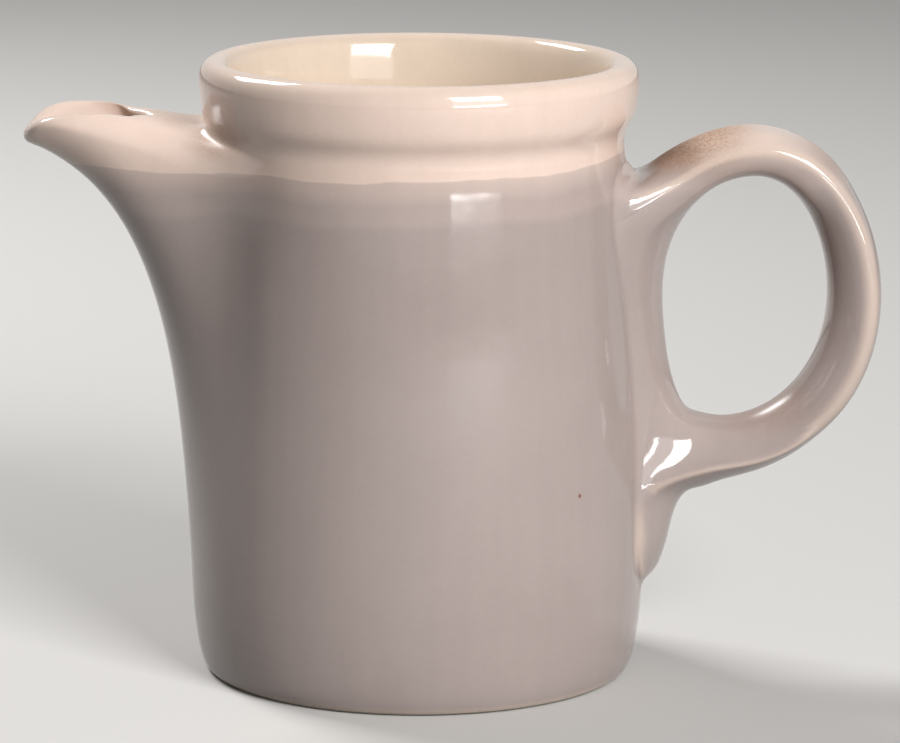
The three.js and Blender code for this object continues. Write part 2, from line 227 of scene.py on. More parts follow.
def top_point(height, column, radius):
    """Place of a groove point where the spout's closed top runs back from its opening to the collar."""
    seat_height = SEAT_HEIGHTS[column]
    groove = NECK_RADIUS + SEAT_SLOPE * max(0, seat_height - SEAT_FOOT)
    seat = around_axis(groove, math.radians(SEAT_SLIDE[column]), seat_height)
    back = (height - GROOVE_ROW) / (SEAT_ROW - GROOVE_ROW)
    if column <= OPEN_COLUMNS:
        return Vector(BACK_EDGE[column]).lerp(seat, back)
    side = beak_point(RIM_ROW, column).lerp(seat, SEAT_START + (1 - SEAT_START) * back)
    return around_axis(radius, column * COLUMN, height).lerp(side, SHOULDER_BLEND[column - OPEN_COLUMNS - 1])


def throat_point(height, column):
    """Place of an inside point: the outside of the spout, moved in by the thickness of its wall."""
    point = beak_point(height, column)
    if height >= RIM_ROW:
        if column > OPEN_COLUMNS:
            return point + Vector(ROOT_INWARD)
        inward = Vector(SIDE_INWARD if column else TIP_INWARD)
        return point + inward * (1 - column / ROOT_COLUMNS) + Vector((0, 0, LIP_RISE[column]))
    rising = beak_point(height + NEAR, column) - beak_point(height - NEAR, column)
    around = Vector((0, 1, 0))
    if column:
        around = beak_point(height, column + NEAR) - beak_point(height, column - NEAR)
    normal = around.cross(rising).normalized()
    thin = min(1, (keel_reach(min(height, TIP_HEIGHT)) - wall_radius(height)) / THIN_REACH)
    lip = LIP_SWELL * max(0, (height - LIP_FOOT) / LIP_RUN) * math.sin(math.pi * column / ROOT_COLUMNS)
    return point - normal * (WALL + lip - thin * (1 - column / ROOT_COLUMNS))


def roof_point(height, column, radius):
    """Place of a point on the inside of the closed top, which fades into the plain wall beside it."""
    if height > GROOVE_ROW:
        roof = around_axis(INNER_SEAT, column * COLUMN * INNER_TURN, SEAT_HEIGHTS[column] - INNER_DROP)
    else:
        inward = Vector((max(0, ROOF_BACK - ROOF_EASE * column), 0, -ROOF_THICKNESS))
        roof = top_point(GROOVE_ROW, column, NECK_RADIUS) + inward
    return around_axis(radius, column * COLUMN, height).lerp(roof, ROOF_BLEND[column])


shape = bmesh.from_edit_mesh(jug.data)
inside = shape.verts.layers.float["inside"]
slot_faces = []
for face in shape.faces:
    x, y, height = face.calc_center_median() / MM
    away = columns_away(x, y, SPOUT_SIDE)
    if KEEL_FOOT < height < GROOVE_ROW and away < ROOT_COLUMNS:
        face.material_index = PIECES.index("spout")
    if RIM_ROW < height < GROOVE_ROW and away < OPEN_COLUMNS:
        slot_faces.append(face)
bmesh.ops.delete(shape, geom=slot_faces, context="FACES")
shoulder = []
for vertex in shape.verts:
    x, y, z = vertex.co / MM
    column = round(columns_away(x, y, SPOUT_SIDE))
    if column >= ROOT_COLUMNS or not KEEL_FOOT - MARGIN < z < SEAT_ROW + MARGIN:
        continue
    radius, height = math.hypot(x, y), round(z, 3)
    outside = is_outside(radius, height)
    if outside and height <= RIM_ROW:
        place = beak_point(height, column)
    elif outside:
        place = top_point(height, column, radius)
    elif height <= RIM_ROW:
        place = throat_point(height, column)
    else:
        place = roof_point(height, column, radius)
    vertex.co = (-place.x * MM, math.copysign(place.y, y) * MM, place.z * MM)
    if place.x > POUR_REACH:
        vertex[inside] = 0
    on_flank = column > OPEN_COLUMNS and height > SHOULDER_FOOT
    on_top = column > SHOULDER_COLUMN and height > GROOVE_ROW + MARGIN
    if outside and (on_flank or on_top):
        shoulder.append(vertex)
bmesh.update_edit_mesh(jug.data)
bpy.ops.mesh.select_all(action="DESELECT")
for edge in shape.edges:
    edge.select = edge.is_boundary
bpy.ops.mesh.bridge_edge_loops()
bpy.ops.mesh.select_mode(type="VERT")
bpy.ops.mesh.select_all(action="DESELECT")
for vertex in shoulder:
    vertex.select_set(True)
bpy.ops.mesh.vertices_smooth(factor=SMOOTH_SHARE, repeat=SMOOTH_TIMES)

# Handle: a strap of clay pulled to a rounded section and bent to a closed loop, luted to the wall along a
# back strip. The lower limb has a crisp rim that runs on into a tongue-shaped tail, pressed down below its
# root. The strip is raised from the wall's own rows, and the strap is extruded from its upper root.
HANDLE_SIDE = 1
PAD_COLUMNS = 2
PAD_FOOT, PAD_HEAD = 14.2, TOP_ROW
PAD_SPREAD = [0, 1.5, 2.86, 3.12]
PAD_EASE = {4: 0.13, 5: 0.38, 6: 0.68, 7: 0.95}
PAD_END = 7.2
PAD_CREASE = -0.2
PAD_ROWS = {
    14.2: (0, 0, 0), 15.6: (2.0, 1.4, 0.4), 17: (2.9, 2.5, 0.8), 21: (4.3, 3.6, 1.0), 26: (5.3, 4.4, 1.0),
    31: (7.6, 6.6, 1.2), 36: (6.2, 5.8, 1.1), 42: (7.4, 6.6, 1.7), 48: (5.5, 4.8, 2.1), 54: (5.0, 4.3, 2.1),
    60: (4.9, 4.2, 1.8), 66: (5.6, 4.8, 1.6), 71: (7.6, 6.6, 1.5), 75: (6.6, 6.2, 1.4), 78: (2.6, 2.5, 1.0),
    80.5: (1.75, 1.5, 0.6), 81.7: (0.95, 0.8, 0.2),
}
PAD_RISE = {31: (-1.8, -1.4, 0), 36: (0, 0, -2.5), 78: (1.9, 1.7, 0.4)}
PAD_WIDTH = {
    14.2: 0.52, 15.6: 0.7, 17: 0.87, 21: 1.0, 26: 0.96, 31: 0.92, 36: 0.82, 42: 0.79, 48: 0.79, 54: 0.85,
    60: 0.97, 66: 1.14, 71: 1.28, 75: 1.34, 78: 1.28, 80.5: 1.15, 81.7: 1.0,
}
TAIL_ROWS, TAIL_CREASE, UPRIGHT = (15, 30), 0.35, 1
RIM_ROWS, RIM_CREASE = (25, 32), 0.6
UPPER_ROOT, LOWER_ROOT, ROOT_MARGIN = (71, 78), (31, 42), 3
CROWN, FRONT, SOLE = (53.3, 80.7), (65.9, 60.6), (48.4, 40.4)
STRAP_CROWN, STRAP_FRONT, STRAP_SOLE = (53.3, 87.5), (73.8, 60.6), (48.4, 32.8)
UPPER_SECTIONS = [((43.0, 75.4), (38.6, 82.2)), ((46.0, 78.4), (43.2, 85.0)), ((49.6, 80.1), (48.0, 86.8))]
LOWER_SECTION = ((45.0, 41.2), (45.6, 32.0))
ROUNDNESS = 0.56
STEPS = 7
STRAP_HALF = 9
STRAP_SECTION = {
    (0, 1): (0, 1.07), (0.5, 1): (0.55, 1.04), (1, 1): (1, 0.8), (1, 0): (0.98, 0.13), (1, -1): (0.66, -0.68),
    (0.5, -1): (0.36, -1.06), (0, -1): (0, -1.13),
}
UPPER_SHOULDER = [0.35, 0.42, 0.5, 0.6, 0.68, 0.74, 0.78]
UPPER_LIFT, UPPER_UNDER = 0.12, (0.86, -0.82)
LOWER_STEPS = 5
LOWER_SIDES = {(0.5, -1): (0.3, -1.04), (1, -1): (0.58, -0.66), (1, 0): (0.83, 0), (1, 1): (1, 0.6)}
LOWER_EASE = {(0.5, -1): (-0.14, 0), (1, -1): (-0.14, 0.16), (1, 0): (-0.1, 0.4)}
LOWER_BELLY, BELLY_FROM = {1: 2.6, 2: 2.0, 3: 1.2, 4: 0.5}, 0.9
PROUD = 0.4

shape = bmesh.from_edit_mesh(jug.data)
across = shape.verts.layers.float.new("across")
through = shape.verts.layers.float.new("through")
strap_rim = shape.verts.layers.float.new("strap_rim")
crease = shape.edges.layers.float.new("crease_edge")
root_faces = []
for face in shape.faces:
    x, y, height = face.calc_center_median() / MM
    away = columns_away(x, y, HANDLE_SIDE)
    if away > PAD_COLUMNS + 1 or not is_outside(math.hypot(x, y), height):
        continue
    if PAD_FOOT < height < PAD_HEAD:
        face.material_index = PIECES.index("handle")
    if away < PAD_COLUMNS and any(low < height < high for low, high in (UPPER_ROOT, LOWER_ROOT)):
        root_faces.append(face)
bmesh.ops.delete(shape, geom=root_faces, context="FACES")
tail_edge = set()
for vertex in shape.verts:
    x, y, z = vertex.co / MM
    column = round(columns_away(x, y, HANDLE_SIDE))
    radius, height = math.hypot(x, y), round(z, 1)
    if height not in PAD_ROWS or column > max(PAD_EASE) or not is_outside(radius, height):
        continue
    spread = PAD_SPREAD[min(column, len(PAD_SPREAD) - 1)] * PAD_WIDTH[height]
    spread += (PAD_END - spread) * PAD_EASE.get(column, 0)
    vertex.co.xy = around_axis(radius * MM, math.copysign(spread * COLUMN, y), 0).xy
    if column <= PAD_COLUMNS:
        vertex[across] = math.copysign(column / PAD_COLUMNS, y)
        vertex[through] = (2 * height - sum(UPPER_ROOT)) / (UPPER_ROOT[1] - UPPER_ROOT[0])
        vertex.co.x += PAD_ROWS[height][column] * MM
        vertex.co.z += PAD_RISE.get(height, (0, 0, 0))[column] * MM
    elif column == PAD_COLUMNS + 1:
        vertex.co.x += PAD_CREASE * MM
    if column in (PAD_COLUMNS, PAD_COLUMNS + 1) and TAIL_ROWS[0] < height < TAIL_ROWS[1]:
        tail_edge.add(vertex)
    if column == PAD_COLUMNS and RIM_ROWS[0] < height < RIM_ROWS[1]:
        vertex[strap_rim] = 1
for edge in shape.edges:
    low, high = edge.verts
    if low in tail_edge and high in tail_edge and abs(low.co.z - high.co.z) > UPRIGHT * MM:
        edge[crease] = TAIL_CREASE
bmesh.update_edit_mesh(jug.data)


def quarter(start, end, upright_first, along):
    """Point on a quarter of a loop, which is level or upright at each end."""
    (x0, z0), (x1, z1) = start, end
    run, rise = (x1 - x0) * ROUNDNESS, (z1 - z0) * ROUNDNESS
    if upright_first:
        return bezier([start, (x0, z0 + rise), (x1 - run, z1), end], along)
    return bezier([start, (x0 + run, z0), (x1, z1 - rise), end], along)


def strap_corner(corner, step, left):
    """Place of a corner of the strap's section, in shares of its half width and half thickness."""
    side, rise = STRAP_SECTION[corner]
    if step < len(UPPER_SHOULDER):
        if corner == (1, 1):
            return side, UPPER_SHOULDER[step]
        if corner == (1, -1):
            return UPPER_UNDER
        return side, rise + UPPER_LIFT if rise > 1 else rise
    if left <= LOWER_STEPS and corner in LOWER_SIDES:
        ease = Vector(LOWER_EASE.get(corner, (0, 0))) * (1 - left / LOWER_STEPS)
        return Vector(LOWER_SIDES[corner]) + ease
    return side, rise


sections = list(UPPER_SECTIONS)
for i in range(STEPS):
    inner = quarter(CROWN, FRONT, False, i / STEPS)
    sections.append((inner, quarter(STRAP_CROWN, STRAP_FRONT, False, i / STEPS)))
for i in range(STEPS + 1):
    inner = quarter(FRONT, SOLE, True, i / STEPS)
    sections.append((inner, quarter(STRAP_FRONT, STRAP_SOLE, True, i / STEPS)))
sections.append(LOWER_SECTION)

bpy.ops.mesh.select_mode(type="EDGE")
bpy.ops.mesh.select_all(action="DESELECT")
for edge in shape.edges:
    heights = [vertex.co.z / MM for vertex in edge.verts]
    near_root = UPPER_ROOT[0] - ROOT_MARGIN < min(heights) and max(heights) < UPPER_ROOT[1] + ROOT_MARGIN
    edge.select = edge.is_boundary and near_root
for step, (inner, outer) in enumerate(sections):
    bpy.ops.mesh.extrude_region_move()
    shape = bmesh.from_edit_mesh(jug.data)
    across = shape.verts.layers.float["across"]
    through = shape.verts.layers.float["through"]
    strap_rim = shape.verts.layers.float["strap_rim"]
    left = len(sections) - step
    middle = (Vector(inner) + Vector(outer)) / 2
    half = (Vector(outer) - Vector(inner)) / 2
    for vertex in shape.verts:
        if vertex.select:
            corner = abs(vertex[across]), round(vertex[through])
            side, rise = strap_corner(corner, step, left)
            belly = LOWER_BELLY.get(left, 0) * (1 - side**2) if rise > BELLY_FROM else 0
            place = middle + half * rise + half.normalized() * belly
            vertex.co = (place.x * MM, math.copysign(side, vertex[across]) * STRAP_HALF * MM, place.y * MM)
            vertex[strap_rim] = corner == (1, 1) and left <= LOWER_STEPS
    bmesh.update_edit_mesh(jug.data)
shape = bmesh.from_edit_mesh(jug.data)
for edge in shape.edges:
    edge.select = edge.is_boundary
bpy.ops.mesh.bridge_edge_loops()
shape = bmesh.from_edit_mesh(jug.data)
strap_rim = shape.verts.layers.float["strap_rim"]
crease = shape.edges.layers.float["crease_edge"]
for edge in shape.edges:
    if all(vertex[strap_rim] > 0.5 for vertex in edge.verts):
        edge[crease] = RIM_CREASE
for face in shape.faces:
    reach = face.calc_center_median().x / MM
    if abs(reach) > BELLY_RADIUS + PROUD:
        face.material_index = PIECES.index("handle" if reach > 0 else "spout")

# Sponged form: while the clay is damp the luted joints are sponged until no line shows, so the jug is
# smoothed whole. Its normals are kept, so that the pieces it is parted into still show as one form.
SMOOTHINGS = 2
bpy.ops.object.mode_set(mode="OBJECT")
for vertex in jug.data.vertices:
    vertex.co.x += AXIS_X * MM
sponged = jug.modifiers.new("sponged", "SUBSURF")
sponged.levels = SMOOTHINGS
bpy.ops.object.modifier_apply(modifier="sponged")
bpy.ops.object.shade_smooth()
whole = jug.data.attributes.new("whole_normal", "FLOAT_VECTOR", "POINT")
whole.data.foreach_set("vector", [part for vertex in jug.data.vertices for part in vertex.normal])

# Glaze: the jug is dipped in a warm grey glaze, then mouth down in a pale pink one as far as the neck, and
# its inside is cream. Fired, it is a thin coat of coloured glass. It draws back from rounded edges, which
# show paler; that paler colour is partly glaze thinning and partly a painted highlight along the ridges. It
# breaks to tan in the few places that got little. All sizes are in millimetres.
GREY, PINK, CREAM, TAN, EDGE = "#AA9B96", "#E6CEC0", "#E4D1BD", "#A07C60", "#DCC6B5"
IRON, CLAY = "#7A4A33", "#D9CBBB"
# Paler edges on sharp bends: partly glaze thinning, partly a painted highlight on the ridges.
SHARP_EDGE, EDGE_AND_HIGHLIGHT_SHARE = (0.07, 0.24), 0.5
# Cream patch on the tail's near ridge: glaze thinning there, and a painted highlight where the ridge faces the
# light.
TAIL_RIDGE_AND_HIGHLIGHT, TAIL_SIZE = (36.0, 10.9, 22.5), (2.2, 2.0, 10.0)
PATCH_EDGE = 0.6
THIN_PLACES = [
    ((43.0, 0, 85.0), (16.0, 13.0, 6.5), 1.0), ((64.0, 0, 82.5), (10.0, 10.0, 6.0), 0.45),
    ((58.0, 0, 42.5), (14.0, 10.0, 6.0), 0.3), ((-37.5, 0, 89.5), (8.0, 10.0, 4.0), 0.35),
    ((-62.0, 0, 86.0), (4.0, 8.0, 3.0), 0.4), ((-30.5, -13.0, 88.0), (7.0, 8.0, 5.0), 0.4),
    ((-30.5, 13.0, 88.0), (7.0, 8.0, 5.0), 0.4),
]
DIP_LINE, DIP_TILT, DIP_EDGE = 83.6, 0.032, 0.5
DIP_WANDER, WANDER_SIZE = 3, 16
HANDLE_DIP_EDGE, HANDLE_DIP_REACH = 7, (37, 48)
SAG_REACH, SAG_HALF, SAG_DEPTH = 42, 14, 1.0
BAND_LINE, BAND_EDGE, BAND_SHARE = 76.8, 0.9, 0.13
FADE_DEPTH, FADE_SHARE = 3.5, 0.4
SHADE_LEAST = 0.88
MOTTLE_SIZE, MOTTLE_SHARE = 12, 0.12
STREAK_WIDTH, STREAK_LENGTH, STREAK_SHARE = 3, 70, 0.07
GRAIN_SIZE, GRAIN_SHARE = 0.8, 0.06
FRECKLE_SIZE, FRECKLE_RANGE, FRECKLE_LEAST = 0.5, (0.35, 0.65), 0.5
IRON_SPECKS = [((25.3, -25.6, 33.4), 0.45), ((14.1, -29.3, 87.1), 0.25)]
SPECK_CORE = 1 / 3
BARE_FOOT, BARE_EDGE, WIPE_DEPTH = 0.7, 0.3, 0.5
PEEL_SIZE, PEEL_DEPTH, TOOTH_DEPTH = 3.5, 0.012, 0.05
GLOSS, MATT_THIN, MATT_BARE = (0.05, 0.1), 0.7, 0.8
GLASS_IOR = 1.5


def smooth_step(low, high, value):
    """Rises from 0 to 1 between two values, level at both ends."""
    share = min(max((value - low) / (high - low), 0), 1)
    return share * share * (3 - 2 * share)


def in_patch(point, centre, size):
    """How far a point lies in a soft round patch: 1 in its middle and 0 at its edge."""
    away = Vector([(p - c) / s for p, c, s in zip(point, centre, size)]).length
    return smooth_step(0, PATCH_EDGE, 1 - away)


bends = [[] for _ in jug.data.vertices]
for edge in jug.data.edges:
    a, b = (jug.data.vertices[i] for i in edge.vertices)
    run = (a.co - b.co) / MM
    bends[a.index].append(2 * a.normal.dot(run) / run.length_squared)
    bends[b.index].append(-2 * b.normal.dot(run) / run.length_squared)
# The paler edge mask from curvature and the tail's ridge patch is partly glaze thinning and partly a painted
# highlight.
edge_break_and_highlight = jug.data.attributes.new("edge_break_and_highlight", "FLOAT", "POINT")
thin_glaze = jug.data.attributes.new("thin_glaze", "FLOAT", "POINT")
for vertex in jug.data.vertices:
    bend = sum(bends[vertex.index]) / len(bends[vertex.index])
    x, y, z = vertex.co / MM
    # Tail ridge patch: partly glaze thinning, partly a painted highlight.
    on_tail_ridge_and_highlight = in_patch((x - AXIS_X, abs(y), z), TAIL_RIDGE_AND_HIGHLIGHT, TAIL_SIZE)
    edge_break_and_highlight.data[vertex.index].value = max(smooth_step(*SHARP_EDGE, bend), on_tail_ridge_and_highlight)
    thins = [share * in_patch((x - AXIS_X, y, z), centre, size) for centre, size, share in THIN_PLACES]
    thin_glaze.data[vertex.index].value = max(thins)


def colour(code):
    """Linear colour of an sRGB hex value."""
    shares = [int(code[i:i + 2], 16) / 255 for i in (1, 3, 5)]
    return [s / 12.92 if s <= 0.04045 else ((s + 0.055) / 1.055) ** 2.4 for s in shares] + [1]


def add(tree, kind, sockets, **settings):
    """Adds a node with its settings, sets or links its sockets by name or number, and gives its output."""
    node = tree.nodes.new("ShaderNode" + kind)
    for name, value in settings.items():
        setattr(node, name, value)
    for key, value in sockets.items():
        by_name = [socket for socket in node.inputs if socket.enabled and socket.name == key]
        socket = by_name[0] if by_name else node.inputs[key]
        if isinstance(value, bpy.types.NodeSocket):
            tree.links.new(value, socket)
        else:
            socket.default_value = value
    return next(socket for socket in node.outputs if socket.enabled)


# The glaze gives the eye soft even colour under a glassy skin, with clear reflections that ripple slightly.
glaze = bpy.data.materials.new("glazed_stoneware")
glaze.use_nodes = True
tree = glaze.node_tree
metres = add(tree, "TexCoord", {}).node.outputs["Object"]
place = add(tree, "VectorMath", {0: metres, "Scale": 1 / MM}, operation="SCALE")
axes = add(tree, "SeparateXYZ", {0: place}).node.outputs
mottle = add(tree, "TexNoise", {"Vector": place, "Scale": 1 / MOTTLE_SIZE, "Detail": 3})
grain = add(tree, "TexNoise", {"Vector": place, "Scale": 1 / GRAIN_SIZE, "Detail": 2})

# Pink above a dip line that wanders and sags on the spout, grey below it, and between them a paler band.
wander = add(tree, "TexNoise", {"Vector": place, "Scale": 1 / WANDER_SIZE, "Detail": 2})
level = add(tree, "VectorMath", {0: place, 1: (-DIP_TILT, 0, 1)}, operation="DOT_PRODUCT").node.outputs["Value"]
level = add(tree, "Math", {0: wander, 1: DIP_WANDER, 2: level}, operation="MULTIPLY_ADD")
flank = add(tree, "Math", {0: axes["X"], 1: AXIS_X - SAG_REACH}, operation="SUBTRACT")
flank = add(tree, "Math", {0: flank}, operation="ABSOLUTE")
sag = add(tree, "MapRange", {
    "Value": flank, "From Max": SAG_HALF, "To Min": SAG_DEPTH, "To Max": 0,
}, interpolation_type="SMOOTHSTEP")
level = add(tree, "Math", {0: level, 1: sag}, operation="ADD")
level_shift = DIP_WANDER / 2 - DIP_TILT * AXIS_X
above = add(tree, "Math", {0: level, 1: DIP_LINE + level_shift}, operation="SUBTRACT")
sharp = add(tree, "MapRange", {
    "Value": axes["X"], "From Min": AXIS_X + HANDLE_DIP_REACH[0], "From Max": AXIS_X + HANDLE_DIP_REACH[1],
    "To Min": 1 / DIP_EDGE, "To Max": 1 / HANDLE_DIP_EDGE,
})
pink = add(tree, "Math", {0: above, 1: sharp, 2: 0.5}, operation="MULTIPLY_ADD", use_clamp=True)
band = BAND_LINE + level_shift
overlap = add(tree, "MapRange", {
    "Value": level, "From Min": band - BAND_EDGE, "From Max": band + BAND_EDGE, "To Max": BAND_SHARE,
}, interpolation_type="SMOOTHSTEP")
fade = add(tree, "MapRange", {"Value": above, "From Min": -FADE_DEPTH, "From Max": 0, "To Max": FADE_SHARE})
overlap = add(tree, "Math", {0: overlap, 1: fade}, operation="ADD")
pinker = add(tree, "Math", {0: pink, 1: overlap}, operation="MAXIMUM")
skin = add(tree, "Mix", {"Factor": pinker, "A": colour(GREY), "B": colour(PINK)}, data_type="RGBA")
inner = add(tree, "Attribute", {}, attribute_name="inside").node.outputs["Fac"]
skin = add(tree, "Mix", {"Factor": inner, "A": skin, "B": colour(CREAM)}, data_type="RGBA")

# Speckled tan where the coat is thin, and a paler line along the edges, partly where the glaze draws back from them
# and partly a painted highlight on the ridges.
freckle = add(tree, "TexNoise", {"Vector": place, "Scale": 1 / FRECKLE_SIZE, "Detail": 3})
speckle = add(tree, "MapRange", {
    "Value": freckle, "From Min": FRECKLE_RANGE[0], "From Max": FRECKLE_RANGE[1], "To Min": FRECKLE_LEAST,
})
thin = add(tree, "Attribute", {}, attribute_name="thin_glaze").node.outputs["Fac"]
tan = add(tree, "Math", {0: thin, 1: speckle}, operation="MULTIPLY")
skin = add(tree, "Mix", {"Factor": tan, "A": skin, "B": colour(TAN)}, data_type="RGBA")
# Paler edge colour: partly glaze thinning, partly a painted highlight on the ridges.
edge = add(tree, "Attribute", {}, attribute_name="edge_break_and_highlight").node.outputs["Fac"]
edge = add(tree, "Math", {0: edge, 1: EDGE_AND_HIGHLIGHT_SHARE}, operation="MULTIPLY")
skin = add(tree, "Mix", {"Factor": edge, "A": skin, "B": colour(EDGE)}, data_type="RGBA")

# Faint clouds, upright runs and grain in the colour, and a few iron specks.
run = add(tree, "VectorMath", {
    0: place, 1: (1 / STREAK_WIDTH, 1 / STREAK_WIDTH, 1 / STREAK_LENGTH),
}, operation="MULTIPLY")
streak = add(tree, "TexNoise", {"Vector": run, "Scale": 1, "Detail": 2})
shade = add(tree, "Math", {0: mottle, 1: MOTTLE_SHARE, 2: SHADE_LEAST}, operation="MULTIPLY_ADD")
shade = add(tree, "Math", {0: streak, 1: STREAK_SHARE, 2: shade}, operation="MULTIPLY_ADD")
shade = add(tree, "Math", {0: grain, 1: GRAIN_SHARE, 2: shade}, operation="MULTIPLY_ADD")
skin = add(tree, "VectorMath", {0: skin, "Scale": shade}, operation="SCALE")
for (x, y, z), size in IRON_SPECKS:
    centre = (x + AXIS_X, y, z)
    away = add(tree, "VectorMath", {0: place, 1: centre}, operation="DISTANCE").node.outputs["Value"]
    spot = add(tree, "MapRange", {"Value": away, "From Min": size, "From Max": size * SPECK_CORE})
    skin = add(tree, "Mix", {"Factor": spot, "A": skin, "B": colour(IRON)}, data_type="RGBA")

# The foot is wiped bare before firing, so dry gritty clay shows where the jug stands.
wiped = add(tree, "Math", {0: grain, 1: WIPE_DEPTH, 2: axes["Z"]}, operation="MULTIPLY_ADD")
bare = add(tree, "MapRange", {"Value": wiped, "From Min": BARE_FOOT + BARE_EDGE, "From Max": BARE_FOOT})
skin = add(tree, "Mix", {"Factor": bare, "A": skin, "B": colour(CLAY)}, data_type="RGBA")
gloss = add(tree, "MapRange", {"Value": mottle, "To Min": GLOSS[0], "To Max": GLOSS[1]})
gloss = add(tree, "Mix", {"Factor": thin, "A": gloss, "B": MATT_THIN}, data_type="FLOAT")
gloss = add(tree, "Mix", {"Factor": bare, "A": gloss, "B": MATT_BARE}, data_type="FLOAT")
peel = add(tree, "TexNoise", {"Vector": place, "Scale": 1 / PEEL_SIZE, "Detail": 1})
ripple = add(tree, "Bump", {"Height": peel, "Strength": 1, "Distance": PEEL_DEPTH * MM})
tooth = add(tree, "Math", {0: grain, 1: bare}, operation="MULTIPLY")
relief = add(tree, "Bump", {"Height": tooth, "Strength": 1, "Distance": TOOTH_DEPTH * MM, "Normal": ripple})
glass = tree.nodes["Principled BSDF"]
tree.links.new(skin, glass.inputs["Base Color"])
tree.links.new(gloss, glass.inputs["Roughness"])
tree.links.new(relief, glass.inputs["Normal"])
glass.inputs["IOR"].default_value = GLASS_IOR

# Joints: the foot ring, collar, spout and handle are scored and luted to the pot with slip. The smoothed jug
# is parted along them, and each open edge is turned a little into the clay and closed there.
GRIT_SIZE, GRIT_SHARE, GRIT_LEAST, CLAY_MATT = 0.4, 0.3, 0.85, 0.85
JOINT_DEPTH = 0.6

# Bare stoneware gives the eye a dry, gritty biscuit colour, which only the faces inside the joints have.
biscuit = bpy.data.materials.new("bare_stoneware")
biscuit.use_nodes = True
tree = biscuit.node_tree
metres = add(tree, "TexCoord", {}).node.outputs["Object"]
grit = add(tree, "TexNoise", {"Vector": metres, "Scale": 1 / (GRIT_SIZE * MM), "Detail": 3})
shade = add(tree, "Math", {0: grit, 1: GRIT_SHARE, 2: GRIT_LEAST}, operation="MULTIPLY_ADD")
clay = add(tree, "VectorMath", {0: colour(CLAY)[:3], "Scale": shade}, operation="SCALE")
tooth = add(tree, "Bump", {"Height": grit, "Strength": 1, "Distance": TOOTH_DEPTH * MM})
earth = tree.nodes["Principled BSDF"]
tree.links.new(clay, earth.inputs["Base Color"])
tree.links.new(tooth, earth.inputs["Normal"])
earth.inputs["Roughness"].default_value = CLAY_MATT


def make_active(piece):
    """Selects one object alone and makes it the active one."""
    bpy.ops.object.select_all(action="DESELECT")
    piece.select_set(True)
    bpy.context.view_layer.objects.active = piece


def part_off(name):
    """Parts the faces marked for a piece from the jug, as an object of their own."""
    make_active(jug)
    bpy.ops.object.mode_set(mode="EDIT")
    bpy.ops.mesh.select_mode(type="FACE")
    bpy.ops.mesh.select_all(action="DESELECT")
    shape = bmesh.from_edit_mesh(jug.data)
    for face in shape.faces:
        face.select_set(face.material_index == PIECES.index(name))
    bpy.ops.mesh.separate(type="SELECTED")
    bpy.ops.object.mode_set(mode="OBJECT")
    piece = next(part for part in bpy.context.selected_objects if part != jug)
    piece.name = "glazed_" + name
    return piece


def close_joint(piece, chosen, fill):
    """Turns the open edges of a piece that a test chooses into the clay, and closes them there."""
    bpy.ops.mesh.select_all(action="DESELECT")
    shape = bmesh.from_edit_mesh(piece.data)
    for edge in shape.edges:
        middle = (edge.verts[0].co + edge.verts[1].co) / 2 / MM
        middle.x -= AXIS_X
        if edge.is_boundary and chosen(middle):
            edge.select_set(True)
            edge.smooth = False
    bpy.ops.mesh.extrude_region_move()
    shape = bmesh.from_edit_mesh(piece.data)
    normal = shape.verts.layers.float_vector["whole_normal"]
    for vertex in shape.verts:
        if vertex.select:
            vertex.co -= vertex[normal] * JOINT_DEPTH * MM
    if fill:
        bpy.ops.mesh.edge_face_add()
        bpy.ops.mesh.quads_convert_to_tris()
    else:
        bpy.ops.mesh.bridge_edge_loops()


def anywhere(point):
    """Chooses every open edge that is left."""
    return True


def finish_piece(piece, *joints):
    """Closes a piece at its joints, gives its skin the whole jug's normals and glaze, and leaves the rest bare."""
    make_active(piece)
    glazed = len(piece.data.polygons)
    bpy.ops.object.mode_set(mode="EDIT")
    bpy.ops.mesh.select_mode(type="EDGE")
    for chosen, fill in joints:
        close_joint(piece, chosen, fill)
    bpy.ops.mesh.select_all(action="SELECT")
    bpy.ops.mesh.normals_make_consistent(inside=False)
    bpy.ops.object.mode_set(mode="OBJECT")
    normals = []
    for polygon in piece.data.polygons:
        is_skin = polygon.index < glazed
        polygon.material_index = 0 if is_skin else 1
        polygon.use_smooth = is_skin
        for corner in polygon.vertices:
            normal = piece.data.attributes["whole_normal"].data[corner].vector
            normals.append(normal if is_skin else (0, 0, 0))
    piece.data.normals_split_custom_set(normals)
    piece.data.materials.append(glaze)
    piece.data.materials.append(biscuit)


# Foot ring: a low ring of stoneware turned under the floor, luted on with slip. It stands on bare clay,
# which is wiped clean of glaze.
foot_ring = part_off("foot_ring")
finish_piece(foot_ring, (anywhere, False))
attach(foot_ring, "root")
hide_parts("foot_ring", "foot_slip")

# Rim collar: a thick rolled band of stoneware around the mouth, thrown on above the groove and joined with
# slip all the way around.
rim_collar = part_off("rim_collar")
finish_piece(rim_collar, (anywhere, False))
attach(rim_collar, "root")
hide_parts("rim_collar", "collar_slip")

# Spout piece: the glazed stoneware beak with its keel and the hollow behind it. Slip joins it around its
# outside and its inside edge to the wall.
spout = part_off("spout")
finish_piece(spout, (anywhere, False))
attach(spout, "root")
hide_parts("spout", "spout_slip")

# Handle piece: the glazed stoneware strap with its back strip and tail. Slip joins the whole of its back to
# the wall, so one face closes it.
handle = part_off("handle")
finish_piece(handle, (anywhere, True))
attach(handle, "root")
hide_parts("handle", "handle_slip")

# Body: what is left of the thrown stoneware pot, its glazed wall and floor. It is closed under the strip of
# the handle, around the foot ring, and where the spout and collar sit on it.
STRIP_COLUMNS, STRIP_ROWS, STRIP_RADIUS = 5, (14, 82), 31


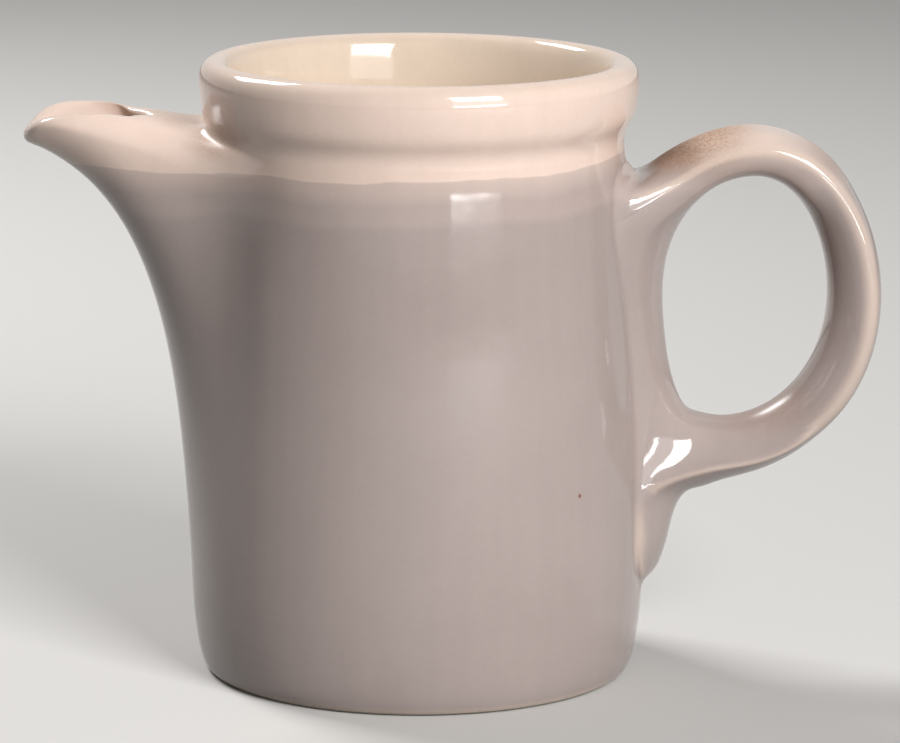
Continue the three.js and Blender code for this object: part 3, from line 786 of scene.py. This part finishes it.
def on_pad(point):
    """Chooses the open edge that the back of the handle covers."""
    near = columns_away(point.x, point.y, HANDLE_SIDE) < STRIP_COLUMNS
    return near and STRIP_ROWS[0] < point.z < STRIP_ROWS[1] and point.xy.length > STRIP_RADIUS


def at_foot(point):
    """Chooses the open edges that the foot ring covers."""
    return point.z < FLOOR_HEIGHT


jug.name = "glazed_body"
finish_piece(jug, (on_pad, True), (at_foot, False), (anywhere, False))
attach(jug, "root")
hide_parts("body")

# Stage: a sheet of matt pale paper under soft studio light, with the camera at the photograph's angle. A
# window in three parts of different brightness stands to the right of the camera, and a skylight is
# behind the jug on the left. The floor and lamps are measured in metres.
IMAGE_WIDTH, SENSOR_WIDTH, FOCAL_PIXELS = 900, 36, 4811.6
DISTANCE, EYE_HEIGHT, NEAREST = 756.7, 198.86, 10
PAN, TILT, ROLL = 0.0068, 0.1968, 0.0053
FLOOR_SIZE = 4
BACKGROUND, FLOOR_PALE, FLOOR_DIM, WHITE = "#DAD8D5", "#D6D4D1", "#5C5A58", "#FFFFFF"
PAPER_MATT = 0.9
FILL = 0.12
bpy.ops.mesh.primitive_plane_add(size=FLOOR_SIZE)
floor = bpy.context.object
floor.name = "floor"

bpy.ops.object.camera_add(location=(AXIS_X * MM, -DISTANCE * MM, EYE_HEIGHT * MM))
camera = bpy.context.object
forward = Vector((math.sin(PAN) * math.cos(TILT), math.cos(PAN) * math.cos(TILT), -math.sin(TILT)))
turned = forward.to_track_quat("-Z", "Y") @ Quaternion((0, 0, 1), ROLL)
camera.rotation_euler = turned.to_euler()
camera.data.sensor_width = SENSOR_WIDTH
camera.data.lens = FOCAL_PIXELS / IMAGE_WIDTH * SENSOR_WIDTH
camera.data.clip_start = NEAREST * MM
bpy.context.scene.camera = camera


def softbox(name, place, aim_height, width, height, watts):
    """A soft lamp of a given size, turned to a height on the jug's middle line."""
    bpy.ops.object.light_add(type="AREA", location=place)
    lamp = bpy.context.object
    lamp.name = name
    lamp.data.shape = "RECTANGLE"
    lamp.data.size, lamp.data.size_y = width, height
    lamp.data.energy = watts
    lamp.rotation_euler = (Vector((0, 0, aim_height)) - Vector(place)).to_track_quat("-Z", "Y").to_euler()


softbox("window", (0.46, -0.77, 0.54), aim_height=0.05, width=0.44, height=0.36, watts=9.2)
softbox("lower_window", (0.46, -0.77, 0.24), aim_height=0.24, width=0.46, height=0.24, watts=0.8)
softbox("window_sill", (0.46, -0.77, 0.095), aim_height=0.095, width=0.44, height=0.05, watts=1.4)
softbox("skylight", (-0.48, 0.47, 0.70), aim_height=0.05, width=0.32, height=0.32, watts=6.5)


def seen_directly(tree):
    """1 for rays from the camera, off glossy surfaces and through clear ones, and 0 for lighting rays."""
    rays = add(tree, "LightPath", {}).node.outputs
    seen = add(tree, "Math", {0: rays["Is Camera Ray"], 1: rays["Is Glossy Ray"]}, operation="MAXIMUM")
    return add(tree, "Math", {0: seen, 1: rays["Is Transmission Ray"]}, operation="MAXIMUM")


# Matt paper looks pale and even, keeps the shadow, and throws little light back up at the jug.
paper = bpy.data.materials.new("matt_paper")
paper.use_nodes = True
tree = paper.node_tree
sheet = add(tree, "Mix", {
    "Factor": seen_directly(tree), "A": colour(FLOOR_DIM), "B": colour(FLOOR_PALE),
}, data_type="RGBA")
tree.links.new(sheet, tree.nodes["Principled BSDF"].inputs["Base Color"])
tree.nodes["Principled BSDF"].inputs["Roughness"].default_value = PAPER_MATT
floor.data.materials.append(paper)

world = bpy.data.worlds.new("studio")
bpy.context.scene.world = world
world.use_nodes = True
tree = world.node_tree
fill = add(tree, "Background", {"Color": colour(WHITE), "Strength": FILL})
pale = add(tree, "Background", {"Color": colour(BACKGROUND), "Strength": 1})
sky = add(tree, "MixShader", {0: seen_directly(tree), 1: fill, 2: pale})
tree.links.new(sky, tree.nodes["World Output"].inputs["Surface"])
bpy.context.scene.view_settings.view_transform = "Standard"
